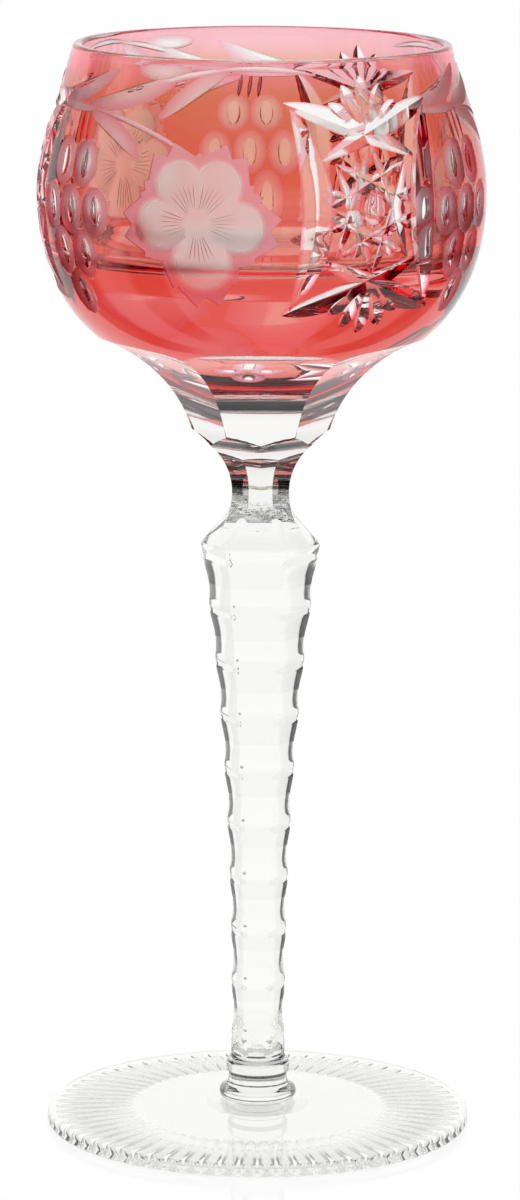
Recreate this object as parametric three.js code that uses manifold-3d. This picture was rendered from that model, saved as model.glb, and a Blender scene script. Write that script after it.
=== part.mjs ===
// A hock glass: ruby glass cased over clear crystal, wheel cut, on a six-sided stem and a round foot.
// Millimetres, +Z up. The origin is the middle of the foot's underside.

import * as THREE from 'three';
import { mergeVertices } from 'three/addons/utils/BufferGeometryUtils.js';
import Module from 'manifold-3d';

// Lengths along the axis, from the table up: each piece stands on the one before it
const footCrown = 4.2;
const footMereseLength = 5.2;
const stemLength = 109.1;
const neckMereseLength = 4;
const bowlLength = 82.5;

// Bowl, with heights above its joint to the neck wafer
const rimRadius = 35;
const rimLean = 0.29;
const rimHandle = 9;
const widestRadius = 41.6;
const widestRise = 55;
const widestHandle = 12;
const casingEndRadius = 28;
const casingEndRise = 26.5;
const casingEndRun = 9.5;
const casingEndLift = 6.2;
const casingLip = 0.25;
const casingLow = 0.62;
const rimWall = 1.9;
const bowlWall = 3.2;
const cavityFloorRise = 44.2;
const cavityFloorRadius = 37;
const cavityCorner = 3;
const cavityDish = 2;
const lipChamfer = 0.5;
const bendInset = 3;
const bendDrop = 4;
const blankRadius = 17;
const blankRise = 8.5;
const bowlSegments = 60;

// Six hollow facets under the bowl, ground by a wheel whose axis lies level beside the glass
const facetCount = 6;
const cupWheelRadius = 24.7;
const cupApothem = 10.4;
const cupWheelRise = 4.5;

// Six hollow facets of the neck, half a step round from those of the bowl
const neckWheelRadius = 12.6;
const neckApothem = 5.3;
const neckWheelDrop = 1;
const wheelSegments = 48;

// Stem, a six-sided tapering bar with scoops between its notches, turned a little from the bowl's facets
const stemTurn = -3.5;
const neckStubLength = 3.6;
const shoulderTopApothem = 5.5;
const shoulderTopDrop = 1.4;
const shoulderApothem = 9.8;
const shoulderDrop = 6.9;
const lowApothem = 4.5;
const taperPower = 2.3;
const notchCount = 10;
const firstNotchDrop = 9.5;
const lastNotchRise = 6.9;
const notchDepth = 0.5;
const notchBar = 1.2;
const notchBarLength = 3.3;
const scoopDepth = 0.42;
const ringsPerScoop = 4;

// Round collar at the low end of the stem, and the wafer that joins it to the foot
const collarRadius = 5.95;
const collarLength = 2.8;
const collarLip = 0.4;
const mereseRadius = 7.3;
const mereseBead = 1.3;
const mereseBeadTurn = 153;
const mereseWaistRadius = 5.5;
const mereseWaistDrop = 1.3;
const mereseTopRadius = 5.8;
const stemSegments = 36;
const beadSteps = 5;

// Foot, with flutes cut into its underside and a hollow ground in the middle
const footRadius = 40;
const footEdge = 2.5;
const footEdgeChamfer = 0.4;
const fluteCount = 66;
const fluteInnerRadius = 23.5;
const fluteOuterRadius = 38.5;
const fluteDepth = 1.5;
const fluteRound = 1.75;
const fluteWheelSides = 12;
const fluteWheelSegments = 72;
const pontilRadius = 9.5;
const pontilDepth = 0.8;
const pontilRings = 3;

// Heights that follow from those lengths
const stemFoot = footCrown + footMereseLength;
const stemTop = stemFoot + stemLength;
const bowlJoint = stemTop + neckMereseLength;
const rimHeight = bowlJoint + bowlLength;
const widestHeight = bowlJoint + widestRise;
const casingEndHeight = bowlJoint + casingEndRise;
const cavityFloor = bowlJoint + cavityFloorRise;
const cupWheelHeight = bowlJoint + cupWheelRise;
const neckWheelHeight = bowlJoint - neckWheelDrop;

const facetStep = (2 * Math.PI) / facetCount;
const stemAngle = THREE.MathUtils.degToRad(stemTurn);

const wasm = await Module();
wasm.setup();

const ruby = { color: 0xd8353f, roughness: 0.08, metalness: 0 };
const crystal = { color: 0xf2f5f3, roughness: 0.05, metalness: 0 };

function toSolid(geometry) {
  const bare = geometry.clone();
  bare.deleteAttribute('normal');
  bare.deleteAttribute('uv');
  const merged = mergeVertices(bare, 1e-5);
  const corners = merged.index.array;
  const kept = [];
  for (let i = 0; i < corners.length; i += 3) {
    const [a, b, c] = corners.subarray(i, i + 3);
    if (a !== b && b !== c && c !== a) {
      kept.push(a, b, c);
    }
  }
  const vertProperties = new Float32Array(merged.attributes.position.array);
  const triVerts = new Uint32Array(kept);
  return new wasm.Manifold(new wasm.Mesh({ numProp: 3, vertProperties, triVerts }));
}

function toNode(solid, name, finish) {
  const mesh = solid.getMesh();
  const geometry = new THREE.BufferGeometry();
  geometry.setAttribute('position', new THREE.BufferAttribute(mesh.vertProperties, 3));
  geometry.setIndex(new THREE.BufferAttribute(mesh.triVerts, 1));
  geometry.computeVertexNormals();
  const node = new THREE.Mesh(geometry, new THREE.MeshStandardMaterial(finish));
  node.name = name;
  return node;
}

function point(radius, height) {
  return new THREE.Vector2(radius, height);
}

// A solid turned about the axis. The profile runs upwards on the outside, and starts and ends on the
// axis or closes on itself.
function turned(profile, segments) {
  const geometry = new THREE.LatheGeometry(profile, segments);
  geometry.rotateX(Math.PI / 2);
  return toSolid(geometry);
}

// The outside of the bowl, as two curves that meet at its widest place.
const lipHeight = rimHeight - lipChamfer;
const outsideCurves = [
  new THREE.CubicBezierCurve(
    point(casingEndRadius, casingEndHeight),
    point(casingEndRadius + casingEndRun, casingEndHeight + casingEndLift),
    point(widestRadius, widestHeight - widestHandle),
    point(widestRadius, widestHeight),
  ),
  new THREE.CubicBezierCurve(
    point(widestRadius, widestHeight),
    point(widestRadius, widestHeight + rimHandle),
    point(rimRadius + rimLean * rimHandle, lipHeight - rimHandle),
    point(rimRadius, lipHeight),
  ),
];
const sideSteps = 7;
const rimSteps = 5;
const floorSteps = 4;

// The thickness of the ruby layer, which the blowing draws out thinner towards the lip.
function casingDepth(height) {
  const share = (height - casingEndHeight) / (rimHeight - casingEndHeight);
  return THREE.MathUtils.lerp(casingLow, casingLip, share);
}

// Points up the bowl's outside, each moved inwards square to the surface by a number of ruby layers.
function outsideLine(layers) {
  const points = [];
  outsideCurves.forEach((curve, index) => {
    const steps = index === 0 ? sideSteps : rimSteps;
    for (let i = index; i <= steps; i += 1) {
      const place = curve.getPoint(i / steps);
      const along = curve.getTangent(i / steps);
      const depth = layers * casingDepth(place.y);
      points.push(point(place.x - along.y * depth, place.y + along.x * depth));
    }
  });
  return points;
}

// Points down the inside of the bowl, from the lip past a tight corner to the middle of its dished floor.
function cavityLine() {
  const wide = widestRadius - bowlWall;
  const cornerTop = cavityFloor + cavityCorner;
  const sideMiddle = (widestHeight + cornerTop) / 2;
  const dishRadius = cavityFloorRadius - cavityCorner;
  const upper = new THREE.CubicBezierCurve(
    point(rimRadius - rimWall, lipHeight),
    point(rimRadius - rimWall + rimLean * rimHandle, lipHeight - rimHandle),
    point(wide, widestHeight + rimHandle),
    point(wide, widestHeight),
  );
  const side = new THREE.CubicBezierCurve(
    point(wide, widestHeight),
    point(wide, sideMiddle),
    point(cavityFloorRadius, sideMiddle),
    point(cavityFloorRadius, cornerTop),
  );
  const corner = new THREE.EllipseCurve(
    dishRadius, cornerTop, cavityCorner, cavityCorner, 0, -Math.PI / 2, true,
  );
  const dish = new THREE.CubicBezierCurve(
    point(dishRadius, cavityFloor),
    point(dishRadius / 2, cavityFloor),
    point(dishRadius / 2, cavityFloor - cavityDish),
    point(0, cavityFloor - cavityDish),
  );
  const below = [side, corner, dish].flatMap((curve) => curve.getPoints(floorSteps).slice(1));
  return [...upper.getPoints(rimSteps), ...below];
}

// Wheels that grind one hollow facet on each side of a six-sided place. The apothem is the distance
// from the glass's axis to the facet at the wheel's own height.
function facetWheels(radius, apothem, height, turn, width) {
  const wheels = [];
  for (let i = 0; i < facetCount; i += 1) {
    const wheel = new THREE.CylinderGeometry(radius, radius, width, wheelSegments);
    wheel.translate(apothem + radius, 0, height);
    wheel.rotateZ(turn + i * facetStep);
    wheels.push(toSolid(wheel));
  }
  return wasm.Manifold.union(wheels);
}

const cupWheels = facetWheels(cupWheelRadius, cupApothem, cupWheelHeight, facetStep / 2, 2 * widestRadius);
const neckWheels = facetWheels(neckWheelRadius, neckApothem, neckWheelHeight, 0, 2 * widestRadius);

// The blown blank bends away here from the bowl's curve towards the solid neck.
const bendHeight = casingEndHeight - bendDrop;
const bendRadius = casingEndRadius - bendInset;

function rubyCasing() {
  const inside = outsideLine(1);
  const outside = outsideLine(0);
  const innerBend = point(bendRadius - casingLow, bendHeight);
  const outerBend = point(bendRadius, bendHeight);
  const lipInside = point(inside.at(-1).x, rimHeight);
  const lipOutside = point(rimRadius - lipChamfer, rimHeight);
  const loop = [outerBend, ...outside, lipOutside, lipInside, ...inside.reverse(), innerBend, outerBend];
  return toNode(turned(loop, bowlSegments).subtract(cupWheels), 'ruby_casing', ruby);
}

function crystalBowl() {
  const inside = outsideLine(1);
  const profile = [
    point(0, bowlJoint),
    point(blankRadius, bowlJoint),
    point(blankRadius, bowlJoint + blankRise),
    point(bendRadius - casingLow, bendHeight),
    ...inside,
    point(inside.at(-1).x, rimHeight),
    point(rimRadius - rimWall + lipChamfer, rimHeight),
    ...cavityLine(),
  ];
  const cut = turned(profile, bowlSegments).subtract(cupWheels).subtract(neckWheels);
  return toNode(cut, 'crystal_bowl', crystal);
}

function neckMerese() {
  const profile = [
    point(0, stemTop),
    point(blankRadius, stemTop),
    point(blankRadius, bowlJoint),
    point(0, bowlJoint),
  ];
  return toNode(turned(profile, stemSegments).subtract(neckWheels), 'neck_merese', crystal);
}

// A bar of level six-sided rings, each given as a point of apothem and height, from the bottom up.
function sixSidedBar(rings) {
  const positions = [];
  for (const ring of rings) {
    const cornerRadius = ring.x / Math.cos(facetStep / 2);
    for (let i = 0; i < facetCount; i += 1) {
      const angle = i * facetStep + stemAngle;
      positions.push(cornerRadius * Math.cos(angle), cornerRadius * Math.sin(angle), ring.y);
    }
  }
  positions.push(0, 0, rings[0].y, 0, 0, rings.at(-1).y);
  const bottomMiddle = rings.length * facetCount;
  const topMiddle = bottomMiddle + 1;
  const topRing = bottomMiddle - facetCount;
  const index = [];
  for (let i = 0; i < facetCount; i += 1) {
    const next = (i + 1) % facetCount;
    for (let k = 0; k < topRing; k += facetCount) {
      index.push(k + i, k + next, k + facetCount + next, k + i, k + facetCount + next, k + facetCount + i);
    }
    index.push(bottomMiddle, next, i, topMiddle, topRing + i, topRing + next);
  }
  const geometry = new THREE.BufferGeometry();
  geometry.setAttribute('position', new THREE.Float32BufferAttribute(positions, 3));
  geometry.setIndex(index);
  return toSolid(geometry);
}

const notchTop = stemTop - firstNotchDrop;
const notchBottom = stemFoot + lastNotchRise;
const notchPitch = (notchTop - notchBottom) / (notchCount - 1);
const shoulderHeight = stemTop - shoulderDrop;

// The distance from the axis to a flat of the stem, before the scoops are cut.
function taperedApothem(height) {
  const rise = (height - notchBottom) / (shoulderHeight - notchBottom);
  return lowApothem + (shoulderApothem - lowApothem) * Math.max(rise, 0) ** taperPower;
}

function stemRings() {
  const rings = [point(lowApothem, stemFoot + collarLength / 2)];
  for (let scoop = 0; scoop < notchCount - 1; scoop += 1) {
    for (let i = 0; i < ringsPerScoop; i += 1) {
      const share = i / ringsPerScoop;
      const height = notchBottom + (scoop + share) * notchPitch;
      const hollow = scoopDepth * 4 * share * (1 - share);
      rings.push(point(taperedApothem(height) - hollow, height));
    }
  }
  rings.push(point(taperedApothem(notchTop), notchTop));
  rings.push(point(shoulderApothem, shoulderHeight));
  rings.push(point(shoulderTopApothem, stemTop - shoulderTopDrop));
  return rings;
}

// Square bars, laid level across each corner edge of the stem, cut its notches.
function notchBars() {
  const bars = [];
  for (let row = 0; row < notchCount; row += 1) {
    const height = notchBottom + row * notchPitch;
    const cornerRadius = taperedApothem(height) / Math.cos(facetStep / 2);
    for (let i = 0; i < facetCount; i += 1) {
      const bar = new THREE.CylinderGeometry(notchBar, notchBar, notchBarLength, 4);
      bar.translate(cornerRadius - notchDepth + notchBar, 0, height);
      bar.rotateZ(i * facetStep + stemAngle);
      bars.push(toSolid(bar));
    }
  }
  return wasm.Manifold.union(bars);
}

function stemShaft() {
  const collar = turned([
    point(0, stemFoot),
    point(collarRadius - collarLip, stemFoot),
    point(collarRadius, stemFoot + collarLip),
    point(collarRadius, stemFoot + collarLength / 2),
    point(lowApothem, stemFoot + collarLength + collarLip),
    point(0, stemFoot + collarLength + collarLip),
  ], stemSegments);
  const stub = turned([
    point(0, stemTop - neckStubLength),
    point(blankRadius, stemTop - neckStubLength),
    point(blankRadius, stemTop),
    point(0, stemTop),
  ], stemSegments).subtract(neckWheels);
  const bar = sixSidedBar(stemRings()).subtract(notchBars());
  return toNode(bar.add(collar).add(stub), 'stem_shaft', crystal);
}

function footMerese() {
  const beadMiddle = point(mereseRadius - mereseBead, footCrown + mereseBead);
  const profile = [point(0, footCrown)];
  for (let i = 0; i <= beadSteps; i += 1) {
    const angle = THREE.MathUtils.degToRad(-90 + (i / beadSteps) * mereseBeadTurn);
    const arm = point(Math.cos(angle), Math.sin(angle)).multiplyScalar(mereseBead);
    profile.push(arm.add(beadMiddle));
  }
  profile.push(point(mereseWaistRadius, stemFoot - mereseWaistDrop));
  profile.push(point(mereseTopRadius, stemFoot));
  profile.push(point(0, stemFoot));
  return toNode(turned(profile, stemSegments), 'foot_merese', crystal);
}

// Round-edged wheels, each sunk into the underside between the flutes' inner and outer ends.
function fluteWheels() {
  const middle = (fluteInnerRadius + fluteOuterRadius) / 2;
  const half = (fluteOuterRadius - fluteInnerRadius) / 2;
  const radius = (half ** 2 / fluteDepth + fluteDepth) / 2;
  const ring = radius - fluteRound;
  const wheels = [];
  for (let i = 0; i < fluteCount; i += 1) {
    const wheel = new THREE.TorusGeometry(ring, fluteRound, fluteWheelSides, fluteWheelSegments);
    wheel.rotateX(Math.PI / 2);
    wheel.translate(middle, 0, fluteDepth - radius);
    wheel.rotateZ((i * 2 * Math.PI) / fluteCount);
    wheels.push(toSolid(wheel));
  }
  return wasm.Manifold.union(wheels);
}

function foot() {
  const profile = [];
  for (let i = 0; i < pontilRings; i += 1) {
    const share = i / pontilRings;
    profile.push(point(share * pontilRadius, pontilDepth * (1 - share * share)));
  }
  profile.push(point(pontilRadius, 0));
  profile.push(point(footRadius - footEdgeChamfer, 0));
  profile.push(point(footRadius, footEdgeChamfer));
  profile.push(point(footRadius, footEdge - footEdgeChamfer));
  profile.push(point(footRadius - footEdgeChamfer, footEdge));
  profile.push(point(mereseRadius, footCrown));
  profile.push(point(0, footCrown));
  return toNode(turned(profile, fluteCount).subtract(fluteWheels()), 'foot', crystal);
}

const hockGlass = new THREE.Group();
hockGlass.add(foot(), footMerese(), stemShaft(), neckMerese(), crystalBowl(), rubyCasing());

export default hockGlass;
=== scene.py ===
"""A hock glass of ruby glass cased over clear crystal, wheel cut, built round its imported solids.

Lengths are written in millimetres and multiplied by MM, heights are above the table, and angles go
round the glass from the side that faces the camera, positive towards the camera's right.
"""

import math

import bpy
import numpy as np
from bpy.props import FloatProperty, FloatVectorProperty, IntProperty, PointerProperty
from mathutils import Matrix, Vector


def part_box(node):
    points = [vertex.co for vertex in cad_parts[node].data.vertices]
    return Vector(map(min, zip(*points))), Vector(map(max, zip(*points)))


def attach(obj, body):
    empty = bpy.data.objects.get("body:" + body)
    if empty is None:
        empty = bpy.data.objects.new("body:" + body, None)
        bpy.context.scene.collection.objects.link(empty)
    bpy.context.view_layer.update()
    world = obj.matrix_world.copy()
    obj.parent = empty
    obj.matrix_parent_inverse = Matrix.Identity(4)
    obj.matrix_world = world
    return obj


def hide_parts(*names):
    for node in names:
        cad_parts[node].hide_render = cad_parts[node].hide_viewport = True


bl_info = {
    "name": "Cased Hock Glass",
    "version": (1, 0, 0),
    "blender": (4, 5, 0),
    "location": "3D View > Sidebar > Hock Glass",
    "description": "Models a ruby-cased, wheel-cut hock glass and its studio",
    "category": "Object",
}

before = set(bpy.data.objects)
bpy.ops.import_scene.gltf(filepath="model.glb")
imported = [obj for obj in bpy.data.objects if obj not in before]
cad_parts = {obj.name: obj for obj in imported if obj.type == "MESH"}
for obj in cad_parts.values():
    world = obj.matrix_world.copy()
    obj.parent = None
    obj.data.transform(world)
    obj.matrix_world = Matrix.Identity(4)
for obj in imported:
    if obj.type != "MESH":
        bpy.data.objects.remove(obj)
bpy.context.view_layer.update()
MM = 0.001

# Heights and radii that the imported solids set, in millimetres
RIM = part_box("ruby_casing")[1][2] / MM
WIDEST_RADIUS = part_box("ruby_casing")[1][0] / MM
BOWL_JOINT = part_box("crystal_bowl")[0][2] / MM
STEM_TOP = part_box("stem_shaft")[1][2] / MM
STEM_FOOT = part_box("stem_shaft")[0][2] / MM
FOOT_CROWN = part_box("foot")[1][2] / MM
FOOT_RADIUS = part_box("foot")[1][1] / MM

# Repeats of the ornament, and facets of the bowl's base, the neck and the stem
REPEATS = 3
FACETS = 6

# Steps along the curves of the bowl's outline
SIDE_STEPS = 40
RIM_STEPS = 26
FLOOR_STEPS = 16
LIP_STEPS = 12
INNER_LIP_STEPS = 8
CORNER_STEPS = 12

# Steps round the axis of the bowl, of collar and foot wafer, and of the neck, and sides of a large wheel
BOWL_TURN = 256
RING_TURN = 128
NECK_TURN = 64
WHEEL_SIDES = 360

# Gap at a fused face, reach in which points merge, and the lip's gap beside that face, in millimetres
FUSE_GAP = 0.01
MERGE_REACH = 0.0005
LIP_GAP = 0.02

# Face values that the glass reads, and the fused value of a cut face
FUSED = "fused"
GROUND = "ground"
CUT = -1.0


def size_prop(label, default):
    return FloatProperty(name=label, default=default, min=0.0)


def share_prop(label, default):
    return FloatProperty(name=label, default=default, min=0.0, max=1.0, subtype="FACTOR")


def colour_prop(label, default):
    return FloatVectorProperty(name=label, default=default, size=3, min=0.0, max=1.0, subtype="COLOR")


class HockBowlSizes(bpy.types.PropertyGroup):
    """Sizes of the bowl and its casing, in millimetres."""

    rim_radius: size_prop("Outer radius at the lip", 35.0)
    rim_lean: size_prop("How far the side leans in at the rim, run over rise", 0.29)
    rim_handle: size_prop("Length of the side's curve handles above the widest place", 9.0)
    widest_rise: size_prop("Height of the widest place above the bowl's joint", 55.0)
    widest_handle: size_prop("Length of the curve handle below the widest place", 12.0)
    casing_end_radius: size_prop("Radius where the cut facets end the casing", 28.0)
    casing_end_rise: size_prop("Height of the casing's end above the joint", 26.5)
    casing_end_run: size_prop("Outward reach of the curve handle there", 9.5)
    casing_end_lift: size_prop("Upward reach of the curve handle there", 6.2)
    casing_rim: size_prop("Thickness of the ruby layer at the lip", 0.25)
    casing_low: size_prop("Thickness of the ruby layer at its lower end", 0.62)
    rim_wall: size_prop("Thickness of both layers at the lip", 1.9)
    bowl_wall: size_prop("Thickness of both layers at the widest place", 3.2)
    lip_round: size_prop("Radius of the fire-polished edge of the lip", 0.75)
    floor_rise: size_prop("Height of the inside's floor above the joint", 44.2)
    floor_radius: size_prop("Radius of the inside just above the floor", 37.0)
    floor_corner: size_prop("Radius of the corner between side and floor", 3.0)
    floor_dish: size_prop("How far the floor dips in the middle", 2.0)
    bend_inset: size_prop("How far in the blank bends towards the neck", 3.0)
    bend_drop: size_prop("How far down the blank bends towards the neck", 4.0)
    blank_radius: size_prop("Radius of the blank round the neck before cutting", 17.0)
    blank_rise: size_prop("Height of that blank above the joint", 8.5)
    cup_wheel: size_prop("Radius of the wheel that grinds the facets of the bowl", 24.7)
    cup_apothem: size_prop("Distance from the axis to those facets", 10.4)
    cup_wheel_rise: size_prop("Height of that wheel above the joint", 4.5)
    neck_wheel: size_prop("Radius of the wheel that grinds the neck", 12.6)
    neck_apothem: size_prop("Distance from the axis to the neck's facets", 5.3)
    neck_wheel_drop: size_prop("Depth of that wheel below the joint", 1.0)


class HockStemSizes(bpy.types.PropertyGroup):
    """Sizes of the stem, its collar, the wafers and the foot, in millimetres."""

    shoulder_apothem: size_prop("Distance from the axis to a flat at the shoulder", 9.8)
    shoulder_drop: size_prop("Depth of the shoulder below the top of the stem", 6.9)
    shoulder_top_apothem: size_prop("Distance from the axis to a flat below the neck", 5.5)
    shoulder_top_drop: size_prop("Depth of that place below the top", 1.4)
    low_apothem: size_prop("Distance from the axis to a flat at the stem's foot", 4.5)
    taper: size_prop("Power of the taper's curve", 2.3)
    notches: IntProperty(name="Notches down each edge", default=10, min=2)
    first_notch: size_prop("Depth of the first notch below the top", 9.5)
    last_notch: size_prop("Height of the last notch above the stem's foot", 6.9)
    notch_depth: size_prop("How deep each notch is cut into its edge", 0.5)
    notch_height: size_prop("Height of a notch at the edge", 1.9)
    notch_matte: share_prop("How matte the notches are", 0.8)
    scoop_depth: size_prop("How deep the flats are hollowed between notches", 0.42)
    stub: size_prop("Length of the turned neck on top of the stem", 3.6)
    collar_radius: size_prop("Radius of the round collar", 5.95)
    collar_length: size_prop("Height of the collar", 2.8)
    collar_lip: size_prop("Rounding of the collar", 0.4)
    collar_fade: size_prop("Height in which the collar runs out above", 2.0)
    collar_flare: size_prop("Reach of the collar's curve handle there", 0.3)
    wafer_radius: size_prop("Radius of the foot wafer's bead", 7.3)
    wafer_bead: size_prop("Radius of the bead's section", 1.3)
    wafer_waist: size_prop("Radius above the bead", 5.5)
    foot_edge: size_prop("Thickness of the foot at its edge", 2.5)
    foot_round: size_prop("Radius of the edge's upper corner", 1.1)
    foot_low_round: size_prop("Radius of the edge's lower corner", 0.5)
    flutes: IntProperty(name="Radial flutes under the foot", default=66, min=6)
    flute_inner: size_prop("Radius where the flutes begin", 23.5)
    flute_outer: size_prop("Radius where the flutes end", 38.5)
    flute_depth: size_prop("Depth of the flutes at their middle", 1.5)
    flute_round: size_prop("Radius of the flutes' round section", 1.75)
    stem_turn: FloatProperty(name="Turn of the stem's flats", default=math.radians(-3.5), subtype="ANGLE")
    edge_round: size_prop("Width that polishing takes off the stem's edges", 0.45)
    pontil_radius: size_prop("Radius of the hollow ground under the foot", 9.5)
    pontil_depth: size_prop("Depth of that hollow", 0.8)


class HockFinish(bpy.types.PropertyGroup):
    """Colours and finishes of the glass, some of them painted shade, with their lengths in millimetres."""

    ruby: colour_prop("Colour that one millimetre of the casing lets through", (0.998, 0.13, 0.185))
    # Partly the casing's own orange colour, partly painted shade that darkens it towards the bottom.
    ruby_low_tint_and_shade: colour_prop("Tint of the casing below its rose band", (0.79, 0.75, 0.345))
    ruby_rose: size_prop("Height of the rose band under the lip", 2.5)
    ruby_fade: size_prop("Height over which the tint below comes in", 4.5)
    crystal: colour_prop("Tint of the clear crystal", (0.972, 0.974, 0.952))
    # Painted shade: this colour dims the light that crosses the neck wafer's fused faces and gives it an
    # olive cast, darkening the neck's band.
    neck_joint_shade: colour_prop("Light that crosses the neck wafer's joints", (0.4, 0.385, 0.27))
    neck_streaks: size_prop("Depth of the neck wafer's chill marks", 0.12)
    # Painted shade: a near-black line at each joint height, standing in for the shade that refraction at
    # the joint casts.
    seam: size_prop("Half the width of the dark line at a joint", 0.25)
    seam_shade_colour: colour_prop("Colour of that line", (0.01, 0.01, 0.012))
    ior: FloatProperty(name="Refraction of lead crystal", default=1.545, min=1.0)
    polished: share_prop("Roughness of polished glass", 0.0)
    matte: share_prop("Roughness of matte cuts", 0.5)


SETTINGS = {"hock_bowl": HockBowlSizes, "hock_stem": HockStemSizes, "hock_finish": HockFinish}


def deselect():
    for thing in bpy.context.selected_objects:
        thing.select_set(False)


def only(thing):
    """Selects one object and makes it active."""
    deselect()
    thing.select_set(True)
    bpy.context.view_layer.objects.active = thing


def bezier(knots, steps):
    """Points along a cubic curve of four (radius, height) knots."""
    t = np.linspace(0.0, 1.0, steps + 1)[:, None]
    a, b, c, d = (np.array(knot, float) for knot in knots)
    return a * (1 - t) ** 3 + 3 * b * t * (1 - t) ** 2 + 3 * c * t**2 * (1 - t) + d * t**3


def round_corner(centre, radius, first, last, steps):
    """Points along an arc, from the first angle to the last, in degrees."""
    angles = np.radians(np.linspace(first, last, steps + 1))
    return np.array(centre) + radius * np.column_stack([np.cos(angles), np.sin(angles)])


def outside_knots(sizes):
    """The two curves of the bowl's outside, from the casing's end up to the lip."""
    end = BOWL_JOINT + sizes.casing_end_rise
    widest = BOWL_JOINT + sizes.widest_rise
    lip = RIM - sizes.lip_round
    lean = sizes.rim_lean * sizes.rim_handle
    low = (
        (sizes.casing_end_radius, end),
        (sizes.casing_end_radius + sizes.casing_end_run, end + sizes.casing_end_lift),
        (WIDEST_RADIUS, widest - sizes.widest_handle),
        (WIDEST_RADIUS, widest),
    )
    high = (
        (WIDEST_RADIUS, widest),
        (WIDEST_RADIUS, widest + sizes.rim_handle),
        (sizes.rim_radius + lean, lip - sizes.rim_handle),
        (sizes.rim_radius, lip),
    )
    return low, high


class BowlSide:
    """The bowl's outside, measured along its length, onto which flat work is wrapped."""

    STEPS = 160
    SPARE = 30.0

    def __init__(self, sizes):
        low, high = (bezier(knots, self.STEPS) for knots in outside_knots(sizes))
        line = np.vstack([low, high[1:]])
        along = np.gradient(line, axis=0)
        along /= np.linalg.norm(along, axis=1)[:, None]
        line = np.vstack([line[0] - self.SPARE * along[0], line, line[-1] + self.SPARE * along[-1]])
        along = np.vstack([along[0], along, along[-1]])
        self.line = line
        self.along = along
        self.length = np.concatenate([[0], np.cumsum(np.linalg.norm(np.diff(line, axis=0), axis=1))])

    def start(self, height):
        return np.interp(height, self.line[:, 1], self.length)

    def wrap(self, flat, angle, height):
        """Lays flat points (right, up, out) on the bowl round a place given by its angle and height."""
        place = self.start(height) + flat[:, 1]
        radius, level, run, rise = (
            np.interp(place, self.length, column)
            for column in (self.line[:, 0], self.line[:, 1], self.along[:, 0], self.along[:, 1])
        )
        reach = np.interp(self.start(height), self.length, self.line[:, 0])
        turn = math.radians(angle) + flat[:, 0] / reach
        radius = radius + rise * flat[:, 2]
        level = level - run * flat[:, 2]
        return np.stack([radius * np.sin(turn), -radius * np.cos(turn), level], axis=1) * MM


def outline(name, points, closed=True):
    """A loop or line of edges through (radius, height) points, shaped from a circle."""
    deselect()
    bpy.ops.mesh.primitive_circle_add(vertices=len(points), radius=MM)
    loop = bpy.context.object
    loop.name = name
    loop.data.name = name
    flat = np.zeros((len(points), 3))
    flat[:, 0] = np.array(points)[:, 0] * MM
    flat[:, 2] = np.array(points)[:, 1] * MM
    loop.data.vertices.foreach_set("co", flat.ravel())
    if not closed:
        ends = {0, len(points) - 1}
        bpy.ops.object.mode_set(mode="EDIT")
        bpy.ops.mesh.select_mode(type="EDGE")
        bpy.ops.mesh.select_all(action="DESELECT")
        bpy.ops.object.mode_set(mode="OBJECT")
        for edge in loop.data.edges:
            edge.select = set(edge.vertices) == ends
        bpy.ops.object.mode_set(mode="EDIT")
        bpy.ops.mesh.delete(type="EDGE")
        bpy.ops.object.mode_set(mode="OBJECT")
    return loop


def turned(name, points, steps, closed=False):
    """Spins an outline round the axis into a closed body."""
    body = outline(name, points, closed)
    only(body)
    bpy.ops.object.mode_set(mode="EDIT")
    bpy.ops.mesh.select_all(action="SELECT")
    bpy.ops.mesh.spin(steps=steps, angle=math.tau, center=(0, 0, 0), axis=(0, 0, 1))
    bpy.ops.mesh.select_all(action="SELECT")
    bpy.ops.mesh.remove_doubles(threshold=MERGE_REACH * MM)
    bpy.ops.mesh.normals_make_consistent(inside=False)
    bpy.ops.object.mode_set(mode="OBJECT")
    give_marks(body)
    return body


def values_of(items, name, width=1, kind=float):
    """One value, or a row of them, for each vertex, edge or face."""
    values = np.empty(width * len(items), kind)
    items.foreach_get(name, values)
    return values.reshape(-1, width) if width > 1 else values


def give_marks(body, ground=0.0, fused=0.0):
    """Face values that the glass materials read: how matte a cut is, and where pieces are fused.

    A tool's faces are marked CUT, so that no cut counts as fused.
    """
    for name, value in ((GROUND, ground), (FUSED, fused)):
        mark = body.data.attributes.get(name) or body.data.attributes.new(name, "FLOAT", "FACE")
        mark.data.foreach_set("value", [value] * len(body.data.polygons))


def mark_fused(body, test):
    """Marks the faces where the piece is fused to its neighbour. The test takes centres in millimetres."""
    faces, marks = body.data.polygons, body.data.attributes[FUSED].data
    before = values_of(marks, "value")
    chosen = test(values_of(faces, "center", 3) / MM, values_of(faces, "normal", 3)) & (before > CUT)
    marks.foreach_set("value", np.where(chosen, 1.0, before))


def part_fused(body):
    """Makes the edges sharp where fused faces end, so that the cuts beside them keep their shape."""
    mesh = body.data
    fused = np.maximum(values_of(mesh.attributes[FUSED].data, "value"), 0.0)
    corners = values_of(mesh.polygons, "loop_total", kind=int)
    edges = values_of(mesh.loops, "edge_index", kind=int)
    total = np.zeros(len(mesh.edges))
    np.add.at(total, edges, np.repeat(fused, corners))
    sharp = values_of(mesh.edges, "use_edge_sharp", kind=bool)
    mesh.edges.foreach_set("use_edge_sharp", sharp | (total == 1))


def flat_at(*heights):
    """A test for level faces at the given heights."""
    upright, reach = 0.99, 0.02

    def test(centres, normals):
        near = [np.abs(centres[:, 2] - height) < reach for height in heights]
        return (np.abs(normals[:, 2]) > upright) & np.any(near, axis=0)

    return test


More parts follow.
